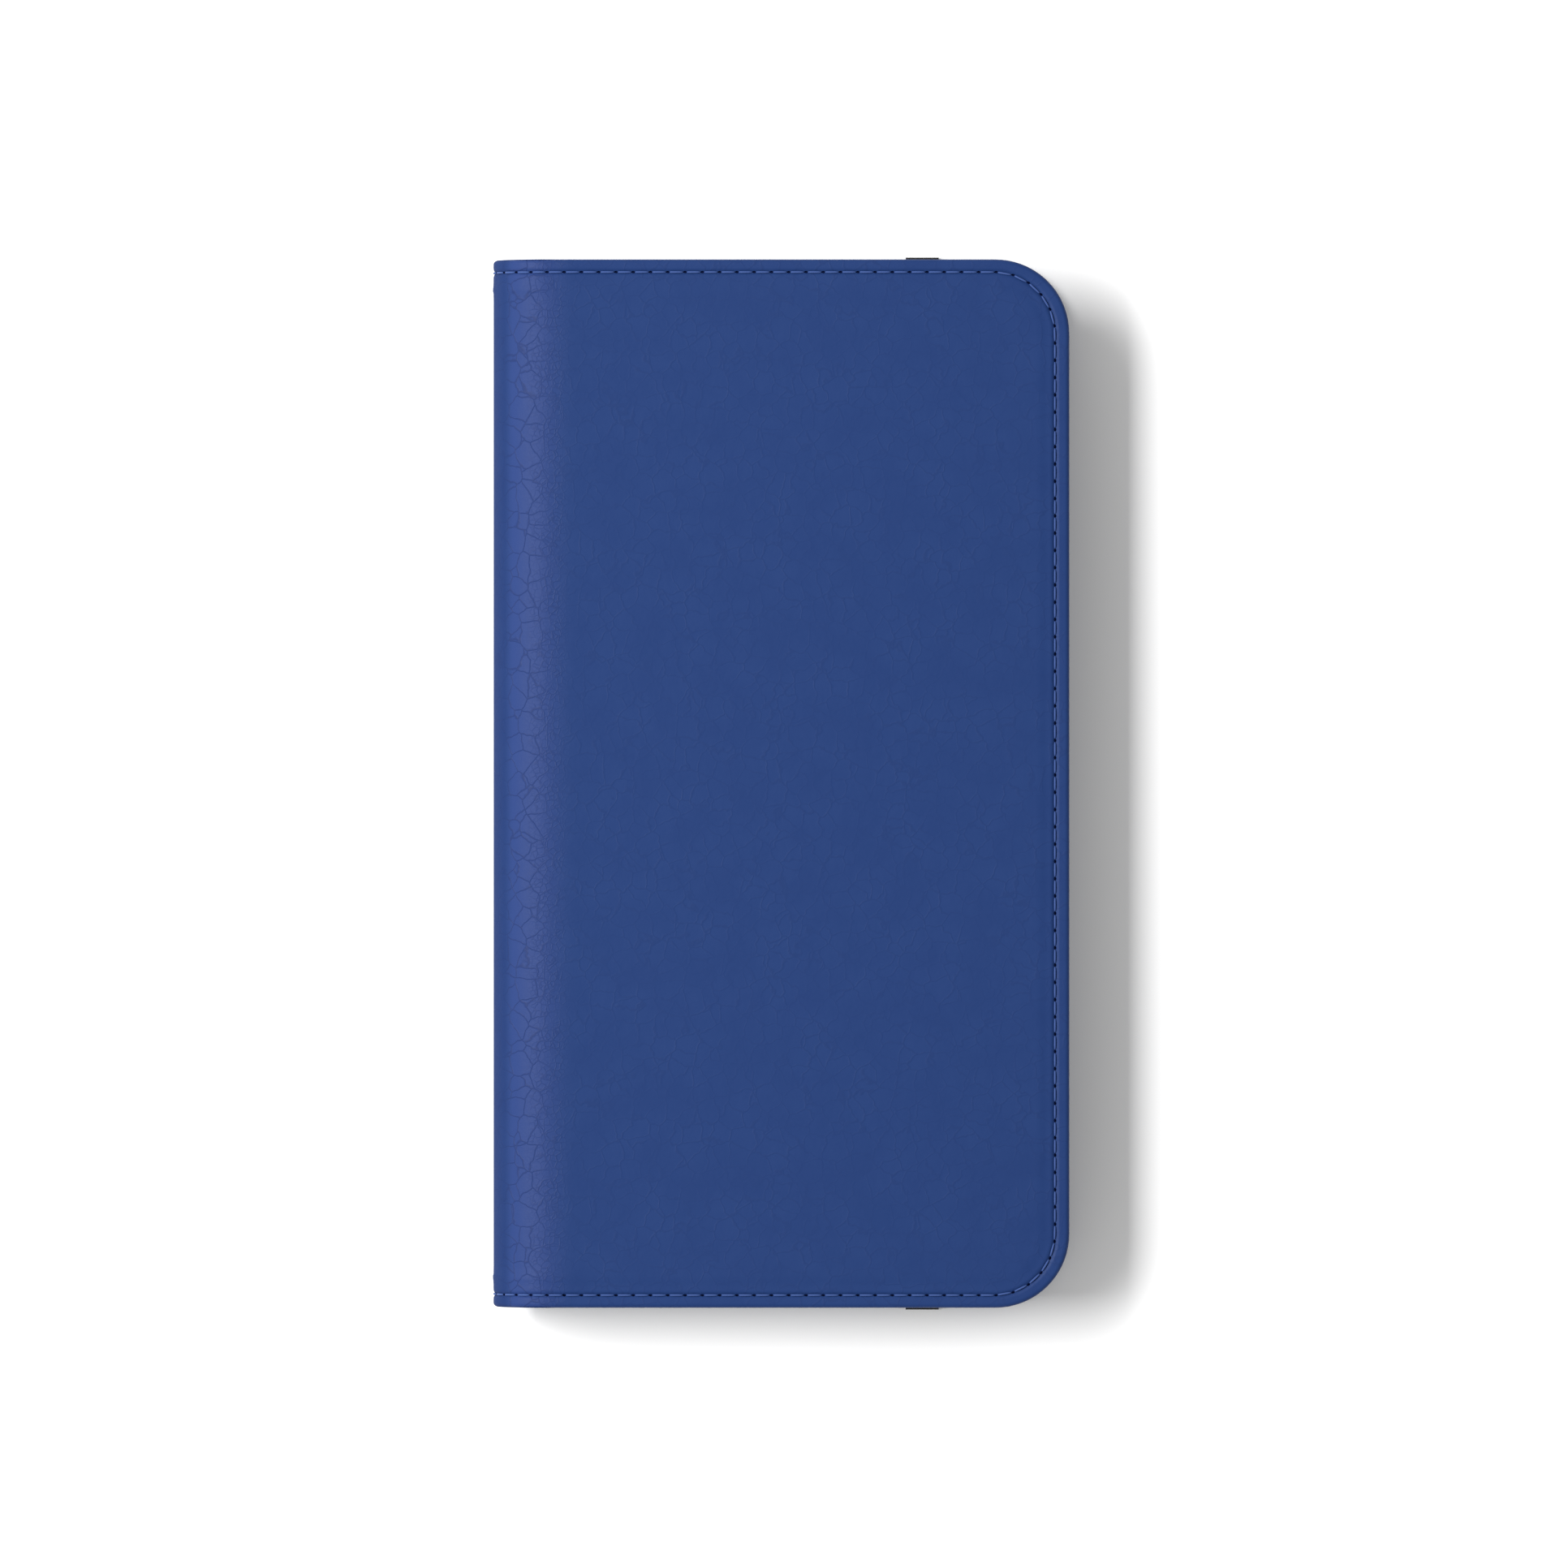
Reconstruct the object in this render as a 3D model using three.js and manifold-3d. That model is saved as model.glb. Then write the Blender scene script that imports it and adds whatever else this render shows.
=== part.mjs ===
// Folio phone wallet case, lying closed on its back. Millimetres, +Z up, +Y towards the phone's top end,
// spine at -X. The origin is below the middle of the case, on the surface that it lies on.
import * as THREE from 'three';
import { mergeVertices } from 'three/addons/utils/BufferGeometryUtils.js';
import Module from 'manifold-3d';

const wasm = await Module();
wasm.setup();

// Driving dimensions of the closed case
const CASE_LENGTH = 158;
const CASE_WIDTH = 86.875;
const COVERS_THICKNESS = 16.625;
const CORNER_RADIUS = 11.125;
const CURVE_SEGMENTS = 8;
const HALF_LENGTH = CASE_LENGTH / 2;
const FREE_EDGE = CASE_WIDTH / 2;

// Layers of a cover, counted inwards from its outer face
const LEATHER_FACE = 1;
const BOARD = 0.75;
const LINING = 0.5;
const CASH_PANEL = 0.5;
const CARD_PANEL = 0.375;
const PAD = 0.25;
const BOARD_TOP = LEATHER_FACE + BOARD;
const LINING_TOP = BOARD_TOP + LINING;
const TURNED_RIM = 4;
const BOARD_GAP = 0.3125;
const LINING_INSET = 0.375;

// Seam: its distance from the ends and from the free edge, and the groove that its thread lies in
const SEAM_FROM_END = 1.9375;
const SEAM_FROM_EDGE = 2.1875;
const GROOVE_WIDTH = 1.0625;
const GROOVE_DEPTH = 0.75;
const THREAD = 0.4375;

// Elastic closing band, stored behind the back cover
const ELASTIC_THICKNESS = 1;
const ELASTIC_WIDTH = 5;
const ELASTIC_X = 21.375;
const ELASTIC_LEG = 0.9375;
const ELASTIC_SEWN_DEPTH = 3.5;
const ELASTIC_NOTCH_GAP = 0.3;
const ELASTIC_TAB_GAP = 0.09375;

// Half-round spine: three rigid strips between four fold lines
const SPINE_OUTER_RADIUS = COVERS_THICKNESS / 2;
const SPINE_RADIUS = SPINE_OUTER_RADIUS - LEATHER_FACE / 2;
const SPINE_X = SPINE_OUTER_RADIUS - FREE_EDGE;
const SPINE_Z = ELASTIC_THICKNESS + SPINE_OUTER_RADIUS;
const FOLD_ANGLE = Math.PI / 4;
const FOLD_OFFSET = SPINE_RADIUS * Math.tan(FOLD_ANGLE / 2);
const FOLD_X = SPINE_X - FOLD_OFFSET;
const LEATHER_FOLD_GAP = 0.35;
const LINING_FOLD_GAP = 0.65;
const STRIP_LAYER_GAP = 0.125;
const STRIP_COUNT = 3;

// Phone shell and what it holds
const PHONE_WIDTH = 76;
const PHONE_LENGTH = 151;
const PHONE_THICKNESS = 8.25;
const PHONE_CORNER = 9.75;
const SHELL_WALL = 1.25;
const SHELL_X = 1;
const SHELL_CHAMFER = 1.5;
const SHELL_BASE = LINING_TOP + PAD;
const SHELL_FLOOR_TOP = SHELL_BASE + SHELL_WALL;
const LIP_HEIGHT = 0.5;
const LIP_REACH = 0.625;
const LIP_CORNER_LENGTH = 16;
const SHELL_TOP = SHELL_FLOOR_TOP + PHONE_THICKNESS + LIP_HEIGHT;

// Notches in the shell's walls, open to its rim
const NOTCH_SILL = 2;
const NOTCH_FLOOR = SHELL_FLOOR_TOP + NOTCH_SILL;
const POWER_KEY_NOTCH = [18, 36];
const VOLUME_KEY_NOTCH = [14, 48];
const SOCKET_NOTCH_HALF = 26;
const MICROPHONE_NOTCH_HALF = 6;

// Camera window, through the shell and the back cover
const WINDOW_WIDTH = 24;
const WINDOW_LENGTH = 36;
const WINDOW_RADIUS = 8;
const WINDOW_Y = 50;
const WINDOW_STEP = 0.5;

// Pockets inside the front cover: their openings face the spine
const CASH_POCKET_OPENING = -31;
const CARD_OPENINGS = [-24.5, -14.5, -4.5];
const POCKET_EDGE_INSET = 0.5;
const CARD_POCKET_HALF = 50;
const CARD_OPENING_RADIUS = 3;

// Adhesive pad under the shell
const PAD_WIDTH = 60;
const PAD_LENGTH = 90;
const PAD_Y = -23;
const PAD_RADIUS = 4;

// Cutters run this far past the faces that they open
const PAST = 1;

const blueLeather = new THREE.MeshStandardMaterial({ color: 0x31487e, roughness: 0.55, metalness: 0 });
const blackLining = new THREE.MeshStandardMaterial({ color: 0x1c1d20, roughness: 0.8, metalness: 0 });
const greyBoard = new THREE.MeshStandardMaterial({ color: 0x8a8377, roughness: 0.9, metalness: 0 });
const blackShell = new THREE.MeshStandardMaterial({ color: 0x16171a, roughness: 0.4, metalness: 0 });
const blackElastic = new THREE.MeshStandardMaterial({ color: 0x121214, roughness: 0.9, metalness: 0 });
const blueThread = new THREE.MeshStandardMaterial({ color: 0x4a609a, roughness: 0.6, metalness: 0 });
const clearPad = new THREE.MeshStandardMaterial({ color: 0xd8d8d4, roughness: 0.5, metalness: 0 });

function toSolid(geometry) {
  const bare = geometry.clone();
  bare.deleteAttribute('normal');
  bare.deleteAttribute('uv');
  const merged = mergeVertices(bare);
  const mesh = new wasm.Mesh({
    numProp: 3,
    vertProperties: new Float32Array(merged.attributes.position.array),
    triVerts: new Uint32Array(merged.index.array),
  });
  return new wasm.Manifold(mesh);
}

function toGeometry(solid) {
  const mesh = solid.getMesh();
  const geometry = new THREE.BufferGeometry();
  geometry.setAttribute('position', new THREE.BufferAttribute(mesh.vertProperties, 3));
  geometry.setIndex(new THREE.BufferAttribute(mesh.triVerts, 1));
  geometry.computeVertexNormals();
  return geometry;
}

function cut(geometry, cutters) {
  const whole = toSolid(geometry);
  return toGeometry(cutters.reduce((left, cutter) => left.subtract(toSolid(cutter)), whole));
}

function plate(shape, from, to) {
  const geometry = new THREE.ExtrudeGeometry(shape, {
    depth: to - from,
    bevelEnabled: false,
    curveSegments: CURVE_SEGMENTS,
  });
  return geometry.translate(0, 0, from);
}

function box(low, high) {
  const geometry = new THREE.BoxGeometry(high[0] - low[0], high[1] - low[1], high[2] - low[2]);
  return geometry.translate((high[0] + low[0]) / 2, (high[1] + low[1]) / 2, (high[2] + low[2]) / 2);
}

function roundedRectangle(x, y, width, length, radius) {
  const [left, right, low, high] = [x - width / 2, x + width / 2, y - length / 2, y + length / 2];
  const shape = new THREE.Shape();
  shape.moveTo(left + radius, low);
  shape.lineTo(right - radius, low);
  shape.absarc(right - radius, low + radius, radius, -Math.PI / 2, 0, false);
  shape.lineTo(right, high - radius);
  shape.absarc(right - radius, high - radius, radius, 0, Math.PI / 2, false);
  shape.lineTo(left + radius, high);
  shape.absarc(left + radius, high - radius, radius, Math.PI / 2, Math.PI, false);
  shape.lineTo(left, low + radius);
  shape.absarc(left + radius, low + radius, radius, Math.PI, 1.5 * Math.PI, false);
  return shape;
}

// The open side of a cover: along its lower end, round both corners of the free edge, back along its upper end
function coverTrace(left, fromEnd, fromEdge) {
  const radius = CORNER_RADIUS - (fromEnd + fromEdge) / 2;
  const [right, high] = [FREE_EDGE - fromEdge, HALF_LENGTH - fromEnd];
  const path = new THREE.Path();
  path.moveTo(left, -high);
  path.lineTo(right - radius, -high);
  path.absarc(right - radius, radius - high, radius, -Math.PI / 2, 0, false);
  path.lineTo(right, high - radius);
  path.absarc(right - radius, high - radius, radius, 0, Math.PI / 2, false);
  path.lineTo(left, high);
  return path.getPoints(CURVE_SEGMENTS);
}

function coverOutline(left, inset) {
  return new THREE.Shape(coverTrace(left, inset, inset));
}

// A band that follows the seam, open at the spine
function seamBand(left, width) {
  const outer = coverTrace(left, SEAM_FROM_END - width / 2, SEAM_FROM_EDGE - width / 2);
  const inner = coverTrace(left, SEAM_FROM_END + width / 2, SEAM_FROM_EDGE + width / 2);
  return new THREE.Shape([...outer, ...inner.reverse()]);
}

function cameraWindow(step) {
  const [width, length] = [WINDOW_WIDTH + 2 * step, WINDOW_LENGTH + 2 * step];
  const shape = roundedRectangle(SHELL_X, WINDOW_Y, width, length, WINDOW_RADIUS + step);
  return plate(shape, -PAST, SHELL_FLOOR_TOP + PAST);
}

function named(name, geometry, material) {
  const mesh = new THREE.Mesh(geometry, material);
  mesh.name = name;
  return mesh;
}

// Outer skin of a cover: its turned rim stands round the board, and its seam lies in a groove
function coverLeather(name, openings) {
  const left = FOLD_X + LEATHER_FOLD_GAP;
  const skin = plate(coverOutline(left, 0), 0, BOARD_TOP);
  const boardRecess = plate(coverOutline(left + TURNED_RIM, TURNED_RIM), LEATHER_FACE, BOARD_TOP + PAST);
  const groove = plate(seamBand(left - PAST, GROOVE_WIDTH), -PAST, GROOVE_DEPTH);
  return named(name, cut(skin, [boardRecess, groove, ...openings]), blueLeather);
}

function coverBoard(name, openings) {
  const inset = TURNED_RIM + BOARD_GAP;
  const board = plate(coverOutline(FOLD_X + LEATHER_FOLD_GAP + inset, inset), LEATHER_FACE, BOARD_TOP);
  return named(name, cut(board, openings), greyBoard);
}

function coverLining(name, openings) {
  const lining = plate(coverOutline(FOLD_X + LINING_FOLD_GAP, LINING_INSET), BOARD_TOP, LINING_TOP);
  return named(name, cut(lining, openings), blackLining);
}

function seamThread(name) {
  return named(name, plate(seamBand(FOLD_X + LEATHER_FOLD_GAP, THREAD), 0, THREAD), blueThread);
}

function elasticNotches() {
  const half = ELASTIC_WIDTH / 2 + ELASTIC_NOTCH_GAP;
  const inner = HALF_LENGTH - TURNED_RIM - PAST;
  return [1, -1].map((side) => {
    const ends = [side * inner, side * (HALF_LENGTH + PAST)].sort((a, b) => a - b);
    return box(
      [ELASTIC_X - half, ends[0], LEATHER_FACE],
      [ELASTIC_X + half, ends[1], BOARD_TOP + PAST],
    );
  });
}

// A sewn-in end: flat under the lining, then bent round the cover's edge down to the band
function elasticEnd(name, side) {
  const legInner = HALF_LENGTH + ELASTIC_THICKNESS - ELASTIC_LEG;
  const legOuter = HALF_LENGTH + ELASTIC_THICKNESS;
  const [tabLow, tabHigh] = [LEATHER_FACE + ELASTIC_TAB_GAP, BOARD_TOP - ELASTIC_TAB_GAP];
  const profile = new THREE.Shape([
    new THREE.Vector2(HALF_LENGTH - ELASTIC_SEWN_DEPTH, tabLow),
    new THREE.Vector2(legInner, tabLow),
    new THREE.Vector2(legInner, 0),
    new THREE.Vector2(legOuter, 0),
    new THREE.Vector2(legOuter, tabHigh),
    new THREE.Vector2(HALF_LENGTH - ELASTIC_SEWN_DEPTH, tabHigh),
  ]);
  const geometry = plate(profile, -ELASTIC_WIDTH / 2, ELASTIC_WIDTH / 2);
  const [x, y, z] = [[1, 0, 0], [0, 1, 0], [0, 0, 1]].map((axis) => new THREE.Vector3(...axis));
  geometry.applyMatrix4(new THREE.Matrix4().makeBasis(y, z, x));
  const mesh = named(name, geometry, blackElastic);
  mesh.position.x = ELASTIC_X;
  mesh.rotation.z = side > 0 ? 0 : Math.PI;
  return mesh;
}

function elasticBand() {
  const [half, reach] = [ELASTIC_WIDTH / 2, HALF_LENGTH + ELASTIC_THICKNESS];
  const geometry = box([ELASTIC_X - half, -reach, 0], [ELASTIC_X + half, reach, ELASTIC_THICKNESS]);
  return named('elastic_band', geometry, blackElastic);
}

function shellBody() {
  const [width, length] = [PHONE_WIDTH + 2 * SHELL_WALL, PHONE_LENGTH + 2 * SHELL_WALL];
  const base = roundedRectangle(
    SHELL_X, 0, width - 2 * SHELL_CHAMFER, length - 2 * SHELL_CHAMFER,
    PHONE_CORNER + SHELL_WALL - SHELL_CHAMFER,
  );
  const body = new THREE.ExtrudeGeometry(base, {
    depth: SHELL_TOP,
    bevelThickness: SHELL_CHAMFER,
    bevelSize: SHELL_CHAMFER,
    bevelSegments: 1,
    curveSegments: CURVE_SEGMENTS,
  });
  return body.translate(0, 0, SHELL_BASE + SHELL_CHAMFER);
}

// The phone's space, closed over by a lip at the four corners only
function phoneSpace() {
  const lipFrom = SHELL_TOP - LIP_HEIGHT;
  const [halfWidth, halfLength] = [PHONE_WIDTH / 2, PHONE_LENGTH / 2];
  const straightX = halfWidth - LIP_CORNER_LENGTH;
  const straightY = halfLength - LIP_CORNER_LENGTH;
  const above = SHELL_TOP + 2 * SHELL_CHAMFER;
  const space = roundedRectangle(SHELL_X, 0, PHONE_WIDTH, PHONE_LENGTH, PHONE_CORNER);
  const mouth = roundedRectangle(
    SHELL_X, 0, PHONE_WIDTH - 2 * LIP_REACH, PHONE_LENGTH - 2 * LIP_REACH, PHONE_CORNER - LIP_REACH,
  );
  return [
    plate(space, SHELL_FLOOR_TOP, lipFrom),
    plate(mouth, lipFrom - PAST, above),
    box([SHELL_X - halfWidth, -straightY, lipFrom - PAST], [SHELL_X + halfWidth, straightY, above]),
    box([SHELL_X - straightX, -halfLength, lipFrom - PAST], [SHELL_X + straightX, halfLength, above]),
  ];
}

// Notches in the walls, open at the rim: keys on both sides, sockets at the bottom end, a microphone on top
function shellNotches() {
  const top = SHELL_TOP + PAST;
  const [side, end] = [PHONE_WIDTH / 2, PHONE_LENGTH / 2];
  const reach = SHELL_WALL + PAST;
  const notch = (lowX, lowY, highX, highY) => box(
    [SHELL_X + lowX, lowY, NOTCH_FLOOR], [SHELL_X + highX, highY, top],
  );
  const [powerLow, powerHigh] = POWER_KEY_NOTCH;
  const [volumeLow, volumeHigh] = VOLUME_KEY_NOTCH;
  return [
    notch(side - PAST, powerLow, side + reach, powerHigh),
    notch(-side - reach, volumeLow, PAST - side, volumeHigh),
    notch(-SOCKET_NOTCH_HALF, -end - reach, SOCKET_NOTCH_HALF, PAST - end),
    notch(-MICROPHONE_NOTCH_HALF, end - PAST, MICROPHONE_NOTCH_HALF, end + reach),
  ];
}

function phoneShell() {
  const above = box([-CASE_WIDTH, -CASE_LENGTH, SHELL_TOP], [CASE_WIDTH, CASE_LENGTH, 3 * SHELL_TOP]);
  const cutters = [above, ...phoneSpace(), ...shellNotches(), cameraWindow(0)];
  return named('phone_shell', cut(shellBody(), cutters), blackShell);
}

function shellPad() {
  const shape = roundedRectangle(SHELL_X, PAD_Y, PAD_WIDTH, PAD_LENGTH, PAD_RADIUS);
  return named('shell_adhesive_pad', plate(shape, LINING_TOP, LINING_TOP + PAD), clearPad);
}

function cashPocketPanel() {
  const shape = coverOutline(CASH_POCKET_OPENING, POCKET_EDGE_INSET);
  return named('cash_pocket_panel', plate(shape, LINING_TOP, LINING_TOP + CASH_PANEL), blackLining);
}

function cardSlotPanel(opening, index) {
  const right = FREE_EDGE - POCKET_EDGE_INSET;
  const shape = new THREE.Shape();
  shape.moveTo(right, -CARD_POCKET_HALF);
  shape.lineTo(right, CARD_POCKET_HALF);
  shape.lineTo(opening + CARD_OPENING_RADIUS, CARD_POCKET_HALF);
  shape.absarc(
    opening + CARD_OPENING_RADIUS, CARD_POCKET_HALF - CARD_OPENING_RADIUS,
    CARD_OPENING_RADIUS, Math.PI / 2, Math.PI, false,
  );
  shape.lineTo(opening, CARD_OPENING_RADIUS - CARD_POCKET_HALF);
  shape.absarc(
    opening + CARD_OPENING_RADIUS, CARD_OPENING_RADIUS - CARD_POCKET_HALF,
    CARD_OPENING_RADIUS, Math.PI, 1.5 * Math.PI, false,
  );
  const from = LINING_TOP + CASH_PANEL + index * CARD_PANEL;
  return named(`card_slot_panel_${index + 1}`, plate(shape, from, from + CARD_PANEL), blackLining);
}

function spineStrip(index) {
  const strip = new THREE.Group();
  const turn = FOLD_ANGLE * index;
  const reach = FOLD_OFFSET - LEATHER_FOLD_GAP;
  const liningReach = FOLD_OFFSET - LINING_FOLD_GAP;
  const liningFrom = LEATHER_FACE / 2 + STRIP_LAYER_GAP;
  const half = LEATHER_FACE / 2;
  const end = HALF_LENGTH - LINING_INSET;
  const leather = box([-reach, -HALF_LENGTH, -half], [reach, HALF_LENGTH, half]);
  const lining = box([-liningReach, -end, liningFrom], [liningReach, end, liningFrom + LINING]);
  strip.add(named(`spine_leather_${index}`, leather, blueLeather));
  strip.add(named(`spine_lining_${index}`, lining, blackLining));
  strip.rotation.y = turn;
  strip.position.set(SPINE_X - SPINE_RADIUS * Math.sin(turn), 0, SPINE_Z - SPINE_RADIUS * Math.cos(turn));
  return strip;
}

function backCover() {
  const cover = new THREE.Group();
  const window = cameraWindow(WINDOW_STEP);
  cover.add(coverLeather('back_cover_leather', [window, ...elasticNotches()]));
  cover.add(coverBoard('back_cover_board', [window]));
  cover.add(coverLining('back_cover_lining', [window]));
  cover.add(seamThread('back_seam_thread'));
  cover.add(elasticEnd('elastic_end_top', 1));
  cover.add(elasticEnd('elastic_end_bottom', -1));
  cover.add(shellPad());
  cover.add(phoneShell());
  cover.position.z = ELASTIC_THICKNESS;
  return cover;
}

// Built face down like the back cover, then turned over onto the shell
function frontCover() {
  const cover = new THREE.Group();
  cover.add(coverLeather('front_cover_leather', []));
  cover.add(coverBoard('front_cover_board', []));
  cover.add(coverLining('front_cover_lining', []));
  cover.add(seamThread('front_seam_thread'));
  cover.add(cashPocketPanel());
  CARD_OPENINGS.forEach((opening, index) => cover.add(cardSlotPanel(opening, index)));
  cover.rotation.x = Math.PI;
  cover.position.z = ELASTIC_THICKNESS + COVERS_THICKNESS;
  return cover;
}

const walletCase = new THREE.Group();
walletCase.add(backCover(), frontCover(), elasticBand());
for (let index = 1; index <= STRIP_COUNT; index += 1) {
  walletCase.add(spineStrip(index));
}

export default walletCase;
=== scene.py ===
"""Phone wallet case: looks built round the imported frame. Metres, +Z up, +Y towards the phone's top end."""
import math

import bmesh
import bpy
import numpy as np
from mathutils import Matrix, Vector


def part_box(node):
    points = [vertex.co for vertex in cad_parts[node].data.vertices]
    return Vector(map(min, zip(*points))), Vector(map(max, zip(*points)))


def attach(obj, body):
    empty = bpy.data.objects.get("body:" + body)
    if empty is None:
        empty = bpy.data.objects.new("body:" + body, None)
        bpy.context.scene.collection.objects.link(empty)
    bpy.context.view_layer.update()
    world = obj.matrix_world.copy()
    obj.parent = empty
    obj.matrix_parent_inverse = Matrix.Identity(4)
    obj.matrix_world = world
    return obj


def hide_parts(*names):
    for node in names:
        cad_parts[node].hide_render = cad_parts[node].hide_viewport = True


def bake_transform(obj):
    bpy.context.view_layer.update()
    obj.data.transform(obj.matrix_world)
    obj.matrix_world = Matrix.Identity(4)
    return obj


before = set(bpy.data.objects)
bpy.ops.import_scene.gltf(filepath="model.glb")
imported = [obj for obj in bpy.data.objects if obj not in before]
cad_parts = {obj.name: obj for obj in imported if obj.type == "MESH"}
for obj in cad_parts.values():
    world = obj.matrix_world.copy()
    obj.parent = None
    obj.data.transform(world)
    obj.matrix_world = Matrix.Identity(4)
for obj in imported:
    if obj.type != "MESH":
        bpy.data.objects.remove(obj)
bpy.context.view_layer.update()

MM = 0.001
PI = math.pi

# -------- sizes from the frame
FRONT_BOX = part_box("front_cover_leather")
BACK_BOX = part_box("back_cover_leather")
FRONT_Z = FRONT_BOX[1].z
BACK_Z = BACK_BOX[0].z
FREE_EDGE = FRONT_BOX[1].x
HALF_LENGTH = FRONT_BOX[1].y
SPINE_RADIUS = (FRONT_Z - BACK_Z) / 2
SPINE_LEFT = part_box("spine_leather_2")[0].x
SPINE_X = SPINE_LEFT + SPINE_RADIUS
SPINE_Z = BACK_Z + SPINE_RADIUS
SPINE_ARC = PI * SPINE_RADIUS
COVER_REACH = FREE_EDGE - SPINE_X

# -------- sizes of the sewn cover
CORNER_RADIUS = 11.125 * MM
PANEL_INSET = 5 * MM
SKIN = 1.0 * MM
RIM_THICKNESS = FRONT_BOX[1].z - FRONT_BOX[0].z
RIM_WIDTH = 4 * MM
LINING = 0.5 * MM
LINING_INSET = 0.375 * MM
LAYER_GAP = 0.01 * MM
SEAM_FROM_END = 1.92 * MM
SEAM_FROM_EDGE = 2.17 * MM
GROOVE_DEPTH = 0.26 * MM
GROOVE_HALF_WIDTH = 0.34 * MM
EDGE_ROUNDING = 0.62 * MM
EDGE_DROP = 0.65 * MM
STITCH_PITCH = 2.593 * MM
STITCH_LENGTH = 2.12 * MM
THREAD_WIDTH = 0.3 * MM
THREAD_HEIGHT = 0.24 * MM
THREAD_SUNK = 0.15 * MM
INNER_THREAD = 0.85
INNER_THREAD_PROUD = 0.04 * MM
POCKET_THREAD = 0.8
POCKET_THREAD_PROUD = 0.03 * MM
HOLE_HALF_LENGTH = 0.27 * MM
HOLE_HALF_WIDTH = 0.17 * MM
FIRST_HOLE = 2.42 * MM
SPINE_END_PROUD = 0.12 * MM
FOLD_DIP = 0.28 * MM
BOARD_STEP = 0.1 * MM
COLUMN_STEP = 0.8 * MM
SPINE_COLUMN_STEP = 0.3 * MM
PANEL_ROWS = 120
FOLD_SPLITS = [-SPINE_ARC / 4, -SPINE_ARC / 2, -3 * SPINE_ARC / 4]
PART_FOLD = {"front": 4, "spine_upper": 3, "spine_lower": 2, "back": 1}

# -------- camera window, pockets, shell and elastic
WINDOW_CENTRE = (1 * MM, 50 * MM)
WINDOW_HALF = (12 * MM, 18 * MM)
WINDOW_RADIUS = 8 * MM
COVER_WINDOW_STEP = 0.5 * MM
CASH_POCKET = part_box("cash_pocket_panel")
CARD_POCKETS = [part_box(f"card_slot_panel_{k}") for k in (1, 2, 3)]
SHELL_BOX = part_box("phone_shell")
SHELL_WALL = 1.25 * MM
SHELL_CORNER = 11 * MM
LIP_REACH = 0.625 * MM
LIP_START = 3 * MM
LIP_END = 7 * MM
POWER_NOTCH = (18 * MM, 36 * MM)
VOLUME_NOTCH = (14 * MM, 48 * MM)
SOCKET_NOTCH_HALF = 26 * MM
MICROPHONE_NOTCH_HALF = 6 * MM
NOTCH_SILL = 2 * MM
NOTCH_REACH = 2.2 * MM
NOTCH_CORNER = 1.6 * MM
NOTCH_ROUNDING = 0.18 * MM
CUT_MARGIN = 2 * MM
FLAT_FACE_AREA = 100 * MM * MM
BAND_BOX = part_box("elastic_band")
BAND_MIDDLE = (BAND_BOX[0].x + BAND_BOX[1].x) / 2
CORD_COUNT = 8
CORD_RIB = 0.022 * MM
STRAP_SHARE = 0.94
STRAP_END_INSET = 0.3 * MM
LEG_STAND_OFF = 0.33 * MM
LEG_THICKNESS = 0.5 * MM
TAB_THICKNESS = 0.55 * MM
TAB_DEPTH = 0.3 * MM
LEG_BEND = 0.5 * MM

# -------- camera and light
CAMERA_DISTANCE = 3.0
VIEW_WIDTH = 236.25 * MM
VIEW_CENTRE = (0.44 * MM, -0.06 * MM)
KEY_PLACE = (-0.79, 0.26, 1.0)
KEY_SIZE = (0.62, 0.9)
KEY_POWER = 33.5
SKY_STRENGTH = 0.6
FLOOR_SIZE = 6


def smooth(value, low, high):
    """0 below low, 1 above high, and a smooth rise between them."""
    t = np.clip((np.asarray(value, float) - low) / (high - low), 0, 1)
    return t * t * (3 - 2 * t)


def wrap(s, y, h):
    """The covers unrolled: s runs along the outer face, 0 where the front cover meets the half-round spine,
    positive across the front, below minus the spine's arc across the back. h is the height over that face."""
    s, y, h = (np.asarray(v, float) for v in (s, y, h))
    turn = np.clip(-s / SPINE_RADIUS, 0, PI)
    radius = SPINE_RADIUS + h
    front = np.maximum(s, 0)
    back = np.maximum(-s - SPINE_ARC, 0)
    x = SPINE_X + front + back - radius * np.sin(turn)
    z = SPINE_Z + radius * np.cos(turn)
    return np.stack([x, y + 0 * x, z], axis=-1)


def tube_faces(rows, count):
    """Quads between rows of count points each, closed round, and a cap on the first and the last row."""
    faces = []
    for first in range(0, (rows - 1) * count, count):
        for k in range(count):
            k_next = (k + 1) % count
            faces.append((first + k, first + k_next, first + count + k_next, first + count + k))
    return faces + [tuple(range(count)), tuple(range((rows - 1) * count, rows * count))]


def in_scene(name, data):
    obj = bpy.data.objects.new(name, data)
    bpy.context.scene.collection.objects.link(obj)
    return obj


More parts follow.
